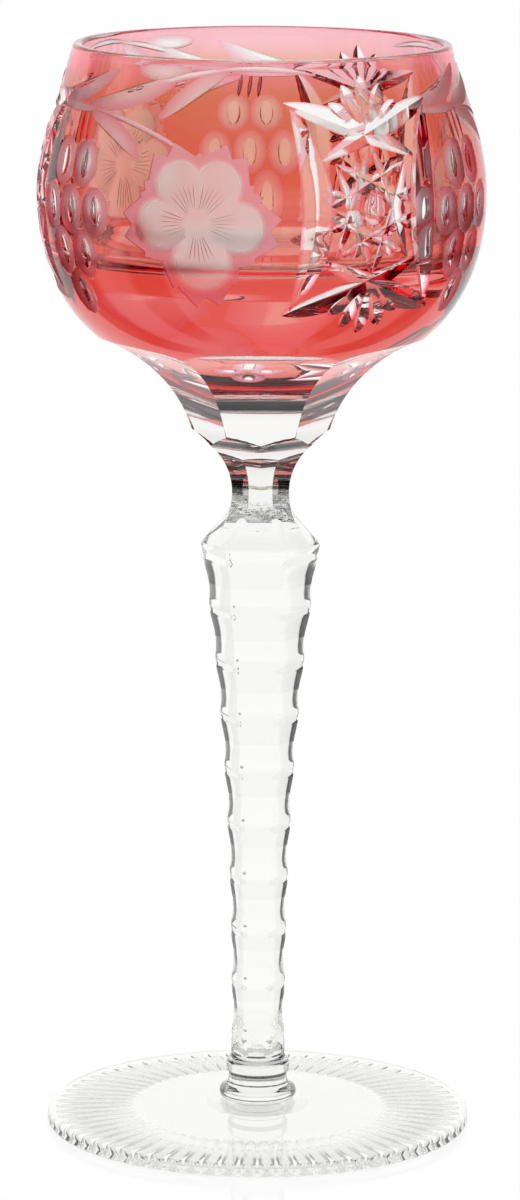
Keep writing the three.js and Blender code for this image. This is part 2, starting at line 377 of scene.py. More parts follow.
def combine(body, tools, operation="DIFFERENCE"):
    """Cuts a body with a list of tools, or joins them to it, and removes the tools."""
    group = bpy.data.collections.new("tools")
    bpy.context.scene.collection.children.link(group)
    for tool in tools:
        group.objects.link(tool)
    only(body)
    change = body.modifiers.new("wheel", "BOOLEAN")
    change.solver = "MANIFOLD"
    change.operation = operation
    change.operand_type = "COLLECTION"
    change.collection = group
    bpy.ops.object.modifier_apply(modifier=change.name)
    for tool in tools:
        bpy.data.objects.remove(tool)
    bpy.data.collections.remove(group)


def moved_copy(tool, move):
    """A copy of a tool with its own mesh, moved by a matrix."""
    copy = tool.copy()
    copy.data = tool.data.copy()
    copy.data.transform(move)
    bpy.context.scene.collection.objects.link(copy)
    return copy


def copies(tools, count):
    """The tools and their copies turned round the glass."""
    placed = list(tools)
    for i in range(1, count):
        spin = Matrix.Rotation(i * math.tau / count, 4, "Z")
        placed += [moved_copy(tool, spin) for tool in tools]
    return placed


def finish_piece(body, name, material, edge_angle=26.0):
    """Names a finished piece, gives it its glass and shades it smooth up to an angle."""
    body.name = name
    body.data.name = name
    body.data.materials.clear()
    body.data.materials.append(material)
    only(body)
    bpy.ops.object.shade_smooth_by_angle(angle=math.radians(edge_angle))
    part_fused(body)
    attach(body, "root")


def facet_wheels(radius, apothem, height, first):
    """Large wheels on level axes, one for each facet. The first facet faces the given angle."""
    reach = (apothem + radius) * MM
    wheels = []
    for i in range(FACETS):
        angle = math.radians(first + i * 360 / FACETS)
        deselect()
        bpy.ops.mesh.primitive_cylinder_add(
            vertices=WHEEL_SIDES,
            radius=radius * MM,
            depth=2 * WIDEST_RADIUS * MM,
            location=(reach * math.sin(angle), -reach * math.cos(angle), height * MM),
            rotation=(math.pi / 2, 0, angle + math.pi / 2),
        )
        bpy.ops.object.transform_apply(location=True, rotation=True, scale=True)
        give_marks(bpy.context.object, fused=CUT)
        wheels.append(bpy.context.object)
    return wheels


def cup_wheels(sizes):
    return facet_wheels(sizes.cup_wheel, sizes.cup_apothem, BOWL_JOINT + sizes.cup_wheel_rise, first=0.0)


def neck_wheels(sizes):
    height, half_facet = BOWL_JOINT - sizes.neck_wheel_drop, 180 / FACETS
    return facet_wheels(sizes.neck_wheel, sizes.neck_apothem, height, first=half_facet)


class Wheels:
    """Cutting wheels as long spindles, whose section and profile give each kind of cut.

    A spindle's middle stands LIFT depths above the glass, and its radius is one depth more. Each kind is
    kept with its half length and half width near the glass, as shares of that radius.
    """

    LIFT = 1.5
    BLUNT = 0.92

    def __init__(self, side):
        self.side = side
        self.level = self.LIFT / (self.LIFT + 1)
        reach = math.sqrt(1 - self.level**2)
        self.kinds = {
            "mitre": (self.spindle("mitre_wheel", sides=4, rings=24), reach, 1 - self.level),
            "hollow": (self.spindle("hollow_wheel", sides=16, rings=20), reach, reach),
            "olive": (self.spindle("olive_wheel", sides=32, rings=24), reach, reach),
            "point": (self.lozenge("point_wheel", rows=8), self.BLUNT, self.BLUNT),
        }
        self.cuts = []
        self.spot = None

    @staticmethod
    def spindle(name, sides, rings):
        deselect()
        bpy.ops.mesh.primitive_uv_sphere_add(segments=sides, ring_count=rings, radius=1)
        shape = bpy.context.object
        shape.name = name
        shape.data.transform(Matrix.Rotation(math.pi / 2, 4, "Y"))
        return shape

    def lozenge(self, name, rows):
        """A four-sided block, a little narrower below, for pointed shallow cuts."""
        deselect()
        bpy.ops.mesh.primitive_cone_add(vertices=4, radius1=self.BLUNT, radius2=1, depth=2)
        bpy.ops.object.mode_set(mode="EDIT")
        bpy.ops.mesh.select_all(action="SELECT")
        bpy.ops.mesh.subdivide(number_cuts=rows - 1)
        bpy.ops.object.mode_set(mode="OBJECT")
        shape = bpy.context.object
        shape.name = name
        return shape

    def clear(self):
        for shape, *_ in self.kinds.values():
            bpy.data.objects.remove(shape)

    def cut(self, kind, start, end, width, depth, bow=0.0, belly=0.0, lean=0.0, ground=0.0):
        """Adds a cut from start to end, flat places in millimetres round the spot (angle, height).

        bow bends it sideways by that many millimetres, belly moves its widest place along it, and lean
        tilts the wheel, so that the bottom of the cut lies nearer to one of its edges.
        """
        shape, reach, spread = self.kinds[kind]
        flat = values_of(shape.data.vertices, "co", 3)
        start, end = np.array(start, float), np.array(end, float)
        run = end - start
        length = np.linalg.norm(run)
        run /= length
        across = np.array([-run[1], run[0]])
        along = flat[:, 0] + belly * (1 - flat[:, 0] ** 2)
        forward = along * 0.5 * length / reach
        sunk = (-flat[:, 2] - self.level) / (1 - self.level)
        sideways = flat[:, 1] * 0.5 * width / spread + bow * (1 - (2 * forward / length) ** 2)
        sideways += 0.5 * lean * width * sunk
        place = 0.5 * (start + end) + forward[:, None] * run + sideways[:, None] * across
        out = depth * (self.LIFT + flat[:, 2] * (self.LIFT + 1))
        mesh = shape.data.copy()
        mesh.vertices.foreach_set("co", self.side.wrap(np.column_stack([place, out]), *self.spot).ravel())
        tool = bpy.data.objects.new("cut", mesh)
        bpy.context.scene.collection.objects.link(tool)
        give_marks(tool, ground=ground, fused=CUT)
        self.cuts.append(tool)

    def ray(self, kind, centre, turn, inner, outer, **cut):
        """A cut along a ray from a centre, between two distances from it."""
        way = np.array([math.cos(math.radians(turn)), math.sin(math.radians(turn))])
        centre = np.array(centre, float)
        self.cut(kind, centre + inner * way, centre + outer * way, **cut)


def cut_star_panel(wheels):
    """A mitre-cut panel: a framed hobstar between two crossed bows, with a fan above and below."""
    wheels.spot = (29.0, 178.6)
    right, up = 15.8, 19.3
    side = dict(width=5.3, depth=1.65)
    side_bow = -5.0
    bold = dict(width=4.1, depth=1.6, belly=-0.2)
    bold_bow, bold_right, bold_up = -0.8, 12.0, 8.0
    for way in (-1, 1):
        wheels.cut("mitre", (way * right, up), (way * right, -up), bow=way * side_bow, **side)
        for level in (-1, 1):
            start, end = (way * right, level * up), (-way * bold_right, level * bold_up)
            wheels.cut("mitre", start, end, bow=way * level * bold_bow, **bold)

    fan = dict(inner=0.4, width=3.2, depth=1.05, belly=0.25)
    fan_up, fan_step, fan_reach, fan_loss = 13.0, 25, 10.8, 0.6
    for level in (-1, 1):
        for i in range(-2, 3):
            turn, outer = level * (90 + fan_step * i), fan_reach - fan_loss * abs(i)
            wheels.ray("mitre", (0, level * fan_up), turn, outer=outer, **fan)

    points, skip = 8, 3
    star = dict(width=2.2, depth=0.95)
    star_right, star_up = 10.4, 12.0
    spark = dict(inner=5.0, outer=9.4, width=1.6, depth=0.75)
    turns = [math.tau * i / points for i in range(points)]
    tips = [(star_right * math.cos(turn), star_up * math.sin(turn)) for turn in turns]
    for i in range(points):
        wheels.cut("mitre", tips[i], tips[(i + skip) % points], **star)
        wheels.ray("mitre", (0, 0), 360 * (i + 0.5) / points, **spark)
    wheels.cut("olive", (0, -3.1), (0, 3.1), width=4.4, depth=0.45)


def cut_grapes(wheels):
    """A bunch of grapes as olive cuts, each a matte hollow with a polished eye, under three stalks."""
    wheels.spot = (-56.5, 177.0)
    grape = dict(width=7.0, depth=0.42, ground=1.0)
    eye = dict(width=3.4, depth=0.95)
    stalk = dict(width=0.9, depth=0.45, ground=0.6)
    rows = ((8.6, (-3.4, 3.4)), (0.0, (-7.2, 0.0, 7.2)), (-8.0, (-3.6, 3.6)), (-15.8, (0.0,)))
    half_grape, half_eye = 4.5, 3.3
    for up, rights in rows:
        for right in rights:
            wheels.cut("olive", (right, up - half_grape), (right, up + half_grape), **grape)
            wheels.cut("olive", (right, up - half_eye), (right, up + half_eye), **eye)
    for top, low in ((-2.3, -1.6), (-0.2, 0.5), (1.9, 2.6)):
        wheels.cut("mitre", (top, 19.0), (low, 12.0), **stalk)


def cut_leaf(wheels):
    """A vine leaf: toothed matte ground, five deep rounded lobes and fine veins."""
    wheels.spot = (-16.4, 176.4)
    matte = dict(ground=1.0)
    tooth = dict(width=7.0, depth=0.14, **matte)
    vein = dict(inner=1.4, width=0.2, depth=1.16, **matte)
    tooth_length, vein_reach, vein_loss = 7.5, 10.2, 0.08
    lobes = (
        (-84.5, 13.0, 13.4),
        (-5.0, 12.7, 11.2),
        (61.0, 12.4, 11.0),
        (118.0, 12.4, 11.0),
        (184.0, 12.1, 11.0),
    )
    wheels.cut("olive", (-10.0, -0.5), (10.0, -0.5), width=18.5, depth=0.14, **matte)
    wheels.cut("olive", (-6.4, 0.0), (6.4, 0.0), width=12.4, depth=0.62, **matte)
    for turn, reach, width in lobes:
        for offset, share in ((-28, 1.02), (-8.5, 1.22), (8.5, 1.22), (28, 1.02)):
            tip = share * reach
            wheels.ray("point", (0, 0), turn + offset, tip - tooth_length, tip, **tooth)
        wheels.ray("olive", (0, 0), turn, -1.0, reach, width=width, depth=0.95, belly=0.16, **matte)
    for turn, *_ in lobes:
        for offset in range(-20, 21, 8):
            outer = vein_reach - vein_loss * abs(offset)
            wheels.ray("hollow", (0, 0), turn + offset, outer=outer, **vein)


def cut_garland(wheels):
    """Scrolling feathers and stems that run from panel to panel over the grapes and the leaf."""
    wheels.spot = (-35.0, 196.0)

    def scroll(start, end, width, **bend):
        wheels.cut("hollow", start, end, width, depth=0.3, ground=1.0, **bend)

    scroll((-26.0, 0.2), (-6.8, 7.0), width=3.6, bow=-1.6, belly=-0.1, lean=0.85)
    scroll((-26.5, -0.2), (-11.0, -0.9), width=2.0, bow=-0.2, lean=-0.5)
    scroll((-14.6, -0.4), (6.0, 5.4), width=3.6, bow=-1.2, belly=0.15, lean=0.85)
    scroll((-13.6, -1.4), (0.9, -8.8), width=3.1, bow=1.5, belly=0.1, lean=-0.85)
    scroll((16.8, 7.3), (4.4, -1.4), width=3.0, bow=-1.0, belly=0.1, lean=0.85)
    scroll((-2.0, 6.9), (9.8, 7.4), width=2.9, bow=-0.4, belly=-0.1, lean=-0.3)
    scroll((-14.0, -0.8), (13.4, -9.8), width=1.0, bow=2.0)
    scroll((-1.0, 3.2), (17.5, 7.5), width=1.2, bow=0.8)
    scroll((14.5, 7.4), (33.0, 6.6), width=1.1, bow=0.8)


def ornament(sizes):
    """All the cutting tools of the ornament, turned round the bowl."""
    wheels = Wheels(BowlSide(sizes))
    cut_star_panel(wheels)
    cut_grapes(wheels)
    cut_leaf(wheels)
    cut_garland(wheels)
    wheels.clear()
    return copies(wheels.cuts, REPEATS)


def outside_line(sizes):
    """Points up the bowl's outside, from the casing's end to the lip."""
    low, high = outside_knots(sizes)
    return np.vstack([bezier(low, SIDE_STEPS), bezier(high, RIM_STEPS)[1:]])


def fused_line(sizes, gap):
    """Points up the face where the casing is fused to the crystal, with a gap from it, to the lip's top."""
    line = outside_line(sizes)
    along = np.gradient(line, axis=0)
    along /= np.linalg.norm(along, axis=1)[:, None]
    depth = np.interp(line[:, 1], [line[0, 1], RIM], [sizes.casing_low, sizes.casing_rim]) + gap
    line = line + depth[:, None] * np.column_stack([-along[:, 1], along[:, 0]])
    radius = line[-1, 0]
    middle = lip_centre(sizes)
    top = middle[1] + math.sqrt(sizes.lip_round**2 - (radius - middle[0]) ** 2)
    return np.vstack([bend_point(sizes, sizes.casing_low + gap), line, (radius, top)])


def inside_line(sizes):
    """Points from the lip's top, down the bowl's inside, to the middle of its floor."""
    widest, lip = BOWL_JOINT + sizes.widest_rise, RIM - sizes.lip_round
    wide, rim = WIDEST_RADIUS - sizes.bowl_wall, sizes.rim_radius - sizes.rim_wall
    lean = sizes.rim_lean * sizes.rim_handle
    floor = BOWL_JOINT + sizes.floor_rise
    corner = (sizes.floor_radius - sizes.floor_corner, floor + sizes.floor_corner)
    upper = (
        (rim, lip),
        (rim + lean, lip - sizes.rim_handle),
        (wide, widest + sizes.rim_handle),
        (wide, widest),
    )
    middle = 0.5 * (widest + corner[1])
    lower = ((wide, widest), (wide, middle), (sizes.floor_radius, middle), (sizes.floor_radius, corner[1]))
    half, low = 0.5 * corner[0], floor - sizes.floor_dish
    dish = ((corner[0], floor), (half, floor), (half, low), (0, low))
    inner_lip = lip_centre(sizes) - np.array([sizes.rim_wall - 2 * sizes.lip_round, 0])
    return np.vstack([
        round_corner(inner_lip, sizes.lip_round, 90, 180, INNER_LIP_STEPS)[1:],
        bezier(upper, RIM_STEPS)[1:],
        bezier(lower, FLOOR_STEPS)[1:],
        round_corner(corner, sizes.floor_corner, 0, -90, CORNER_STEPS)[1:],
        bezier(dish, FLOOR_STEPS)[1:],
    ])


def bend_point(sizes, depth):
    """The place where the blank bends towards the neck, at a depth in the glass."""
    radius = sizes.casing_end_radius - sizes.bend_inset - depth
    return np.array([radius, BOWL_JOINT + sizes.casing_end_rise - sizes.bend_drop])


def lip_centre(sizes):
    return np.array([sizes.rim_radius - sizes.lip_round, RIM - sizes.lip_round])


def lip_line(sizes):
    """Points round the lip's edge, from just above the outside to its top."""
    first = 8
    return round_corner(lip_centre(sizes), sizes.lip_round, first, 90, LIP_STEPS)


def on_fused_face(sizes, centres, gap):
    """True for faces that lie on the face between casing and crystal, below its end at the lip."""
    reach, end = 0.03, 0.05
    line = fused_line(sizes, gap)
    radius, height = np.hypot(centres[:, 0], centres[:, 1]), centres[:, 2]
    expected = np.interp(height, line[:, 1], line[:, 0])
    return (np.abs(radius - expected) < reach) & (height < line[-1, 1] - end) & (height > line[0, 1])


class Socket:
    """A socket whose operators add the Math nodes of an expression."""

    def __init__(self, tree, link):
        self.tree = tree
        self.link = link

    def math(self, operation, *others):
        return self.tree.add("Math", (self, *others), operation=operation)

    def output(self, name):
        """Another output of the node that this socket belongs to."""
        return Socket(self.tree, self.link.node.outputs[name])

    def __add__(self, other):
        return self.math("ADD", other)

    def __sub__(self, other):
        return self.math("SUBTRACT", other)

    def __mul__(self, other):
        return self.math("MULTIPLY", other)

    __radd__ = __add__


class Tree:
    """A node tree that is written as a program."""

    MIX_ENDS = (6, 7)
    MIX_RESULT = 2

    def __init__(self, owner):
        owner.use_nodes = True
        self.nodes = owner.node_tree.nodes
        self.links = owner.node_tree.links
        self.nodes.clear()

    def add(self, kind, values=(), output=0, **settings):
        """Adds a node. values are by place or by name, as numbers or other sockets."""
        node = self.nodes.new("ShaderNode" + kind)
        for name, value in settings.items():
            setattr(node, name, value)
        pairs = values.items() if isinstance(values, dict) else enumerate(values)
        for key, value in pairs:
            if value is None:
                continue
            if isinstance(value, Socket):
                self.links.new(value.link, node.inputs[key])
            else:
                node.inputs[key].default_value = value
        return Socket(self, node.outputs[output]) if len(node.outputs) else node

    def split(self, vector):
        """The three parts of a vector."""
        node = self.add("SeparateXYZ", {"Vector": vector}).link.node
        return [Socket(self, part) for part in node.outputs]

    def ramp(self, value, low, high, start, end):
        """A soft step of a value from start, at low, to end, at high."""
        ends = {"Value": value, "From Min": low, "From Max": high, "To Min": start, "To Max": end}
        return self.add("MapRange", ends, interpolation_type="SMOOTHSTEP")

    def mix(self, share, start, end):
        """A colour between two others."""
        values = {0: share, self.MIX_ENDS[0]: start, self.MIX_ENDS[1]: end}
        return self.add("Mix", values, self.MIX_RESULT, data_type="RGBA")


def opaque(colour):
    return (*colour, 1.0)


WHITE = opaque((1.0, 1.0, 1.0))


def glass_material(name, ruby=False, joint=(1.0, 1.0, 1.0), shaded_seams=(), streaks=0.0):
    """Cut glass. Its faces are matte where they were ground, and vanish where pieces are fused.

    joint tints the light that crosses a fused face, as painted shade. shaded_seams are the heights of
    painted dark lines of shade where a joint meets the surface, and streaks is the depth of level chill
    marks in millimetres.
    """
    finish = bpy.context.scene.hock_finish
    material = bpy.data.materials.new(name)
    tree = Tree(material)
    ground = tree.add("Attribute", output="Fac", attribute_name=GROUND)
    fused = tree.add("Attribute", output="Fac", attribute_name=FUSED)
    height = tree.split(tree.add("TexCoord").output("Object"))[2]
    tint = opaque(finish.crystal)
    # Painted shade: the colour goes to near black in a thin band round each seam height.
    for seam in shaded_seams:
        away = (height - seam * MM).math("ABSOLUTE")
        dark = tree.ramp(away, finish.seam * MM, 2 * finish.seam * MM, 1.0, 0.0)
        tint = tree.mix(dark, tint, opaque(finish.seam_shade_colour))
    volume = None
    if ruby:
        rose = RIM - finish.ruby_rose
        # Below the rose band the uncut casing is tinted darker and more orange. This is partly its own
        # colour and partly painted shade.
        low = tree.ramp(height, (rose - finish.ruby_fade) * MM, rose * MM, 1.0, 0.0)
        uncut = tree.ramp(fused, CUT, 0.0, 0.0, 1.0)
        tint = tree.mix(low * uncut, WHITE, opaque(finish.ruby_low_tint_and_shade))
        volume = ruby_depth(tree, finish.ruby)
    glass = tree.add(
        "BsdfPrincipled",
        {
            "Base Color": tint,
            "Roughness": finish.polished + ground * (finish.matte - finish.polished),
            "IOR": finish.ior,
            "Transmission Weight": 1.0,
            "Normal": chill_marks(tree, streaks) if streaks else None,
        },
    )
    # Painted shade: the joint colour dims the light that crosses a fused face.
    clear = tree.add("BsdfTransparent", {"Color": opaque(joint)})
    surface = tree.add("MixShader", (fused, glass, clear))
    tree.add("OutputMaterial", {"Surface": surface, "Volume": volume})
    return material


def ruby_depth(tree, colour):
    """Glass that takes in light until one millimetre of it lets the given colour through."""
    darkest = 1e-3
    loss = [-math.log(max(part, darkest)) / MM for part in colour]
    density = max(loss)
    colour = opaque(1 - part / density for part in loss)
    return tree.add("VolumeAbsorption", {"Color": colour, "Density": density})


def chill_marks(tree, depth):
    """Level wrinkles that a cool iron leaves on hot glass."""
    across, upright, detail = 90.0, 1400.0, 3.0
    place = tree.add("TexCoord").output("Object")
    scale = (across, across, upright)
    stretch = tree.add("Mapping", {"Vector": place, "Scale": scale})
    noise = tree.add("TexNoise", {"Vector": stretch, "Scale": 1.0, "Detail": detail})
    return tree.add("Bump", {"Height": noise, "Distance": depth * MM, "Strength": 1.0})


class HOCK_OT_casing(bpy.types.Operator):
    """Blows the ruby casing and cuts its ornament and its scalloped lower edge"""

    bl_idname = "hock.casing"
    bl_label = "Ruby Casing"

    def execute(self, context):
        sizes = context.scene.hock_bowl
        inside = fused_line(sizes, 0.0)
        lip = lip_line(sizes)
        points = np.vstack([
            bend_point(sizes, 0.0),
            outside_line(sizes),
            lip[lip[:, 0] > inside[-1, 0] + LIP_GAP],
            inside[::-1],
        ])
        casing = turned("casing", points, BOWL_TURN, closed=True)
        combine(casing, cup_wheels(sizes) + ornament(sizes))
        mark_fused(casing, lambda centres, normals: on_fused_face(sizes, centres, 0.0))
        finish_piece(casing, "ruby_casing_cut", glass_material("ruby_casing_glass", ruby=True))
        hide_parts("ruby_casing")
        return {"FINISHED"}


class HOCK_OT_bowl(bpy.types.Operator):
    """Blows the clear bowl with its heavy base, and cuts its ornament and facets"""

    bl_idname = "hock.bowl"
    bl_label = "Crystal Bowl"

    def execute(self, context):
        sizes = context.scene.hock_bowl
        fused = fused_line(sizes, FUSE_GAP)
        lip = lip_line(sizes)
        points = np.vstack([
            (0, BOWL_JOINT),
            (sizes.blank_radius, BOWL_JOINT),
            (sizes.blank_radius, BOWL_JOINT + sizes.blank_rise),
            fused,
            lip[lip[:, 0] < fused[-1, 0] - LIP_GAP],
            inside_line(sizes),
        ])
        bowl = turned("bowl", points, BOWL_TURN)
        combine(bowl, cup_wheels(sizes) + neck_wheels(sizes) + ornament(sizes))
        joint = flat_at(BOWL_JOINT)

        def test(centres, normals):
            return on_fused_face(sizes, centres, FUSE_GAP) | joint(centres, normals)

        mark_fused(bowl, test)
        finish_piece(bowl, "crystal_bowl_cut", glass_material("crystal_bowl_glass"))
        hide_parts("crystal_bowl")
        return {"FINISHED"}


def neck_disc(name, low, high):
    """A plain disc of glass with the neck's facets ground round it."""
    sizes = bpy.context.scene.hock_bowl
    radius = sizes.blank_radius
    disc = turned(name, ((0, low), (radius, low), (radius, high), (0, high)), NECK_TURN)
    combine(disc, neck_wheels(sizes))
    return disc


class HOCK_OT_neck(bpy.types.Operator):
    """Cuts the wafer of the neck"""

    bl_idname = "hock.neck"
    bl_label = "Neck Wafer"

    def execute(self, context):
        finish = context.scene.hock_finish
        neck = neck_disc("neck", STEM_TOP, BOWL_JOINT)
        mark_fused(neck, flat_at(BOWL_JOINT, STEM_TOP))
        glass = glass_material("neck_wafer_glass", joint=finish.neck_joint_shade, streaks=finish.neck_streaks)
        finish_piece(neck, "neck_wafer_cut", glass)
        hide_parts("neck_merese")
        return {"FINISHED"}


class HOCK_OT_stem(bpy.types.Operator):
    """Draws the six-sided stem, hollows its flats and cuts its notches"""

    bl_idname = "hock.stem"
    bl_label = "Stem"

    def execute(self, context):
        sizes = context.scene.hock_stem
        stem = six_sided_bar(sizes)
        combine(stem, notch_tools(sizes))
        collar = turned("collar", collar_line(sizes), RING_TURN)
        stub = neck_disc("stub", STEM_TOP - sizes.stub, STEM_TOP)
        combine(stem, [collar, stub], "UNION")
        mark_fused(stem, flat_at(STEM_TOP, STEM_FOOT))
        finish_piece(stem, "stem_cut", glass_material("stem_glass", shaded_seams=[STEM_FOOT]))
        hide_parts("stem_shaft")
        return {"FINISHED"}


def collar_line(sizes):
    """Points round the collar, which runs out above into the stem's flats."""
    lip_steps, side_steps, lip_first = 6, 12, -80
    radius, lip, flat = sizes.collar_radius, sizes.collar_lip, sizes.low_apothem
    middle, top = STEM_FOOT + 0.5 * sizes.collar_length, STEM_FOOT + sizes.collar_length
    end = top + sizes.collar_fade
    side = ((radius, middle), (radius, top), (flat + sizes.collar_flare, top), (flat, end))
    return np.vstack([
        (0, STEM_FOOT),
        (radius - lip, STEM_FOOT),
        round_corner((radius - lip, STEM_FOOT + lip), lip, lip_first, 0, lip_steps),
        bezier(side, side_steps),
        (0, end),
    ])


def notch_heights(sizes):
    return np.linspace(STEM_FOOT + sizes.last_notch, STEM_TOP - sizes.first_notch, sizes.notches)


def tapered_apothem(sizes, height):
    """Distance from the axis to a flat of the stem, before the scoops are cut."""
    low = STEM_FOOT + sizes.last_notch
    rise = max(height - low, 0.0) / (STEM_TOP - sizes.shoulder_drop - low)
    return sizes.low_apothem + (sizes.shoulder_apothem - sizes.low_apothem) * rise**sizes.taper


def stem_rings(sizes):
    """Apothem and height of each ring of the stem, from the bottom up."""
    rings = [(sizes.low_apothem, STEM_FOOT + 0.5 * sizes.collar_length)]
    heights = notch_heights(sizes)
    steps = 10
    for low, high in zip(heights[:-1], heights[1:]):
        for i in range(steps):
            share = i / steps
            height = low + share * (high - low)
            hollow = sizes.scoop_depth * math.sin(math.pi * share) ** 2
            rings.append((tapered_apothem(sizes, height) - hollow, height))
    rings.append((tapered_apothem(sizes, heights[-1]), heights[-1]))
    rings.append((sizes.shoulder_apothem, STEM_TOP - sizes.shoulder_drop))
    rings.append((sizes.shoulder_top_apothem, STEM_TOP - sizes.shoulder_top_drop))
    return rings


def six_sided_bar(sizes):
    """A six-sided circle, extruded and resized from ring to ring, with its edges polished round."""
    rings = stem_rings(sizes)
    corner = 1 / math.cos(math.pi / FACETS)
    apothem, height = rings[0]
    deselect()
    bpy.ops.mesh.primitive_circle_add(
        vertices=FACETS,
        radius=apothem * corner * MM,
        fill_type="NGON",
        location=(0, 0, height * MM),
        rotation=(0, 0, math.pi / 2),
    )
    bpy.ops.object.transform_apply(location=True, rotation=True)
    bar = bpy.context.object
    bpy.ops.object.mode_set(mode="EDIT")
    bpy.ops.mesh.select_all(action="SELECT")
    for next_apothem, next_height in rings[1:]:
        move = {"value": (0, 0, (next_height - height) * MM)}
        bpy.ops.mesh.extrude_region_move(TRANSFORM_OT_translate=move)
        ratio = next_apothem / apothem
        bpy.ops.transform.resize(value=(ratio, ratio, 1), center_override=(0, 0, next_height * MM))
        apothem, height = next_apothem, next_height
    bpy.ops.mesh.select_all(action="SELECT")
    bpy.ops.mesh.normals_make_consistent(inside=False)
    bpy.ops.object.mode_set(mode="OBJECT")
    bar.data.transform(Matrix.Rotation(sizes.stem_turn, 4, "Z"))
    only(bar)
    round_edges = bar.modifiers.new("polish", "BEVEL")
    round_edges.limit_method = "ANGLE"
    round_edges.angle_limit = math.radians(40)
    round_edges.width = sizes.edge_round * MM
    round_edges.segments = 2
    bpy.ops.object.modifier_apply(modifier=round_edges.name)
    give_marks(bar)
    return bar


def notch_tools(sizes):
    """Small mitre wheels that run level across each corner edge.

    A wheel is oversize times as deep and as high as the notch, and is sunk into the edge by its depth.
    """
    oversize, half_length = 3, 2.6
    deselect()
    bpy.ops.mesh.primitive_uv_sphere_add(segments=4, ring_count=20, radius=MM)
    wheel = bpy.context.object
    wheel.data.transform(Matrix.Rotation(math.pi / 2, 4, "Y"))
    wheel.data.transform(Matrix.Rotation(math.pi / 2, 4, "X"))
    depth = oversize * sizes.notch_depth
    scale = Matrix.Diagonal((half_length, depth, 0.5 * oversize * sizes.notch_height, 1))
    tools = []
    for height in notch_heights(sizes):
        reach = tapered_apothem(sizes, height) / math.cos(math.pi / FACETS)
        shift = Matrix.Translation((0, -(reach - sizes.notch_depth + depth) * MM, height * MM))
        for i in range(FACETS):
            turn = math.radians((180 + 360 * i) / FACETS) + sizes.stem_turn
            tool = moved_copy(wheel, Matrix.Rotation(turn, 4, "Z") @ shift @ scale)
            give_marks(tool, ground=sizes.notch_matte, fused=CUT)
            tools.append(tool)
    bpy.data.objects.remove(wheel)
    return tools


class HOCK_OT_foot_wafer(bpy.types.Operator):
    """Turns the beaded wafer between stem and foot"""

    bl_idname = "hock.foot_wafer"
    bl_label = "Foot Wafer"

    def execute(self, context):
        wafer = turned("wafer", wafer_line(context.scene.hock_stem), RING_TURN)
        mark_fused(wafer, flat_at(STEM_FOOT))
        glass = glass_material("foot_wafer_glass", shaded_seams=[STEM_FOOT])
        finish_piece(wafer, "foot_wafer_turned", glass, edge_angle=40.0)
        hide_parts("foot_merese")
        return {"FINISHED"}


def wafer_line(sizes):
    """Points up the foot wafer: its bead, a waist and the face under the collar."""
    bead_end, bead_steps, waist_steps = 50, 20, 10
    waist, flare, top_drop = sizes.wafer_waist, 0.5, 0.6
    start_rise, handle_rise = 2.1 * sizes.wafer_bead, 2.4 * sizes.wafer_bead
    bottom = FOOT_CROWN + FUSE_GAP
    bead = (sizes.wafer_radius - sizes.wafer_bead, bottom + sizes.wafer_bead)
    side = (
        (waist + flare, FOOT_CROWN + start_rise),
        (waist, FOOT_CROWN + handle_rise),
        (waist, STEM_FOOT - top_drop),
        (sizes.collar_radius - sizes.collar_lip, STEM_FOOT),
    )
    return np.vstack([
        (0, bottom),
        round_corner(bead, sizes.wafer_bead, -90, bead_end, bead_steps),
        bezier(side, waist_steps),
        (0, STEM_FOOT),
    ])


class HOCK_OT_foot(bpy.types.Operator):
    """Turns the foot and cuts the flutes and the ground hollow under it"""

    bl_idname = "hock.foot"
    bl_label = "Foot"

    def execute(self, context):
        sizes = context.scene.hock_stem
        steps_per_flute = 4
        foot = turned("foot", foot_line(sizes), steps_per_flute * sizes.flutes)
        combine(foot, flute_tools(sizes))
        finish_piece(foot, "foot_fluted", glass_material("foot_glass"), edge_angle=30.0)
        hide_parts("foot")
        return {"FINISHED"}


def foot_line(sizes):
    """Points from the middle of the ground hollow, out under the foot, round its edge and up its crown."""
    hollow_steps, low_steps, high_steps, crown_steps, high_end = 8, 4, 8, 20, 80
    edge_run, edge_lift, crown_run, crown_drop = 12, 0.35, 9, 0.5
    low, high = sizes.foot_low_round, sizes.foot_round
    fused_radius = sizes.wafer_radius - sizes.wafer_bead
    share = np.linspace(0, 1, hollow_steps + 1)[:-1]
    crown = (
        (FOOT_RADIUS - high, sizes.foot_edge),
        (FOOT_RADIUS - edge_run, sizes.foot_edge + edge_lift),
        (fused_radius + crown_run, FOOT_CROWN - crown_drop),
        (fused_radius, FOOT_CROWN),
    )
    return np.vstack([
        np.column_stack([share * sizes.pontil_radius, sizes.pontil_depth * (1 - share**2)]),
        (sizes.pontil_radius, 0),
        (sizes.flute_inner, 0),
        round_corner((FOOT_RADIUS - low, low), low, -90, 0, low_steps),
        round_corner((FOOT_RADIUS - high, sizes.foot_edge - high), high, 0, high_end, high_steps),
        bezier(crown, crown_steps),
        (0, FOOT_CROWN),
    ])


def flute_tools(sizes):
    """Round-edged wheels, each sunk into the underside between the flutes' inner and outer ends."""
    middle = 0.5 * (sizes.flute_inner + sizes.flute_outer)
    half = 0.5 * (sizes.flute_outer - sizes.flute_inner)
    wheel = 0.5 * (half**2 / sizes.flute_depth + sizes.flute_depth)
    stand = Matrix.Rotation(math.pi / 2, 4, "X")
    shift = Matrix.Translation((middle * MM, 0, (sizes.flute_depth - wheel) * MM))
    tools = []
    for i in range(sizes.flutes):
        deselect()
        bpy.ops.mesh.primitive_torus_add(
            major_segments=180,
            minor_segments=20,
            major_radius=(wheel - sizes.flute_round) * MM,
            minor_radius=sizes.flute_round * MM,
        )
        tool = bpy.context.object
        tool.data.transform(Matrix.Rotation(i * math.tau / sizes.flutes, 4, "Z") @ shift @ stand)
        give_marks(tool, fused=CUT)
        tools.append(tool)
    return tools


